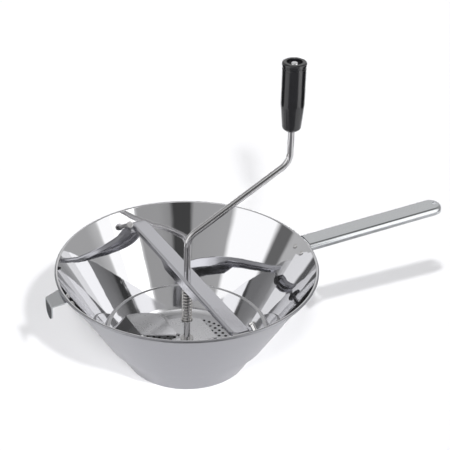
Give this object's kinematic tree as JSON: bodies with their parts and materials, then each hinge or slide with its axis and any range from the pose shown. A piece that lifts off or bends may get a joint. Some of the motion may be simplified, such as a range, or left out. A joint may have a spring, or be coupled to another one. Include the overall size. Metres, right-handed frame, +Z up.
{
  "type": "food mill",
  "caption": "Hand-cranked food mill: conical steel bowl with a seated sieve, a sprung blade on a crank held by a twist-in bar, a long channel handle and a rest hook.",
  "frame": {"origin": "centre of the bowl's foot, on the shaft's axis, in the plane that the mill stands on", "axes": "+Z up along the shaft, +X out along the handle, +Y away from the front, near the bar's line"},
  "size_m": [0.3955, 0.24, 0.2827],
  "materials": {
    "polished_steel": "mirror polished inside, fine satin outside",
    "satin_steel": "satin",
    "bright_steel": "bright drawn",
    "spring_steel": "bright wire",
    "black_plastic": "moulded, semi-gloss"
  },
  "bodies": {
    "bowl_body": {"bowl": "polished_steel", "sieve_disc": "polished_steel", "handle": "satin_steel", "handle_rivets": "bright_steel", "rest_hook": "satin_steel", "hook_rivets": "bright_steel", "back_catch": "polished_steel", "front_catch": "polished_steel"},
    "bar_body": {"crossbar": "satin_steel", "upper_washer": "bright_steel", "spring": "spring_steel"},
    "spring_seat_body": {"lower_washer": "bright_steel"},
    "crank_body": {"crank_rod": "bright_steel", "spring_pin": "bright_steel", "agitator_blade": "polished_steel", "agitator_hub": "bright_steel", "hub_pin": "bright_steel", "grip_stop_ring": "bright_steel", "grip_cap": "bright_steel"},
    "grip_body": {"grip": "black_plastic"}
  },
  "joints": [
    {"name": "bar_twist", "type": "hinge", "parent": "bowl_body", "child": "bar_body", "pos_m": [0, 0, 0.0895], "axis": [0, 0, 1], "range_deg": [-60, 0]},
    {"name": "crank_lift", "type": "slide", "parent": "bar_body", "child": "spring_seat_body", "axis": [0, 0, 1], "range_m": [0, 0.004], "stiffness_N_per_m": 2200, "springref_m": -0.008, "deforming": ["spring"]},
    {"name": "crank_spin", "type": "hinge", "parent": "spring_seat_body", "child": "crank_body", "pos_m": [0, 0, 0.0369], "axis": [0, 0, 1], "continuous": true},
    {"name": "grip_spin", "type": "hinge", "parent": "crank_body", "child": "grip_body", "pos_m": [0.099, 0, 0.2501], "axis": [0, 0, 1], "continuous": true}
  ]
}
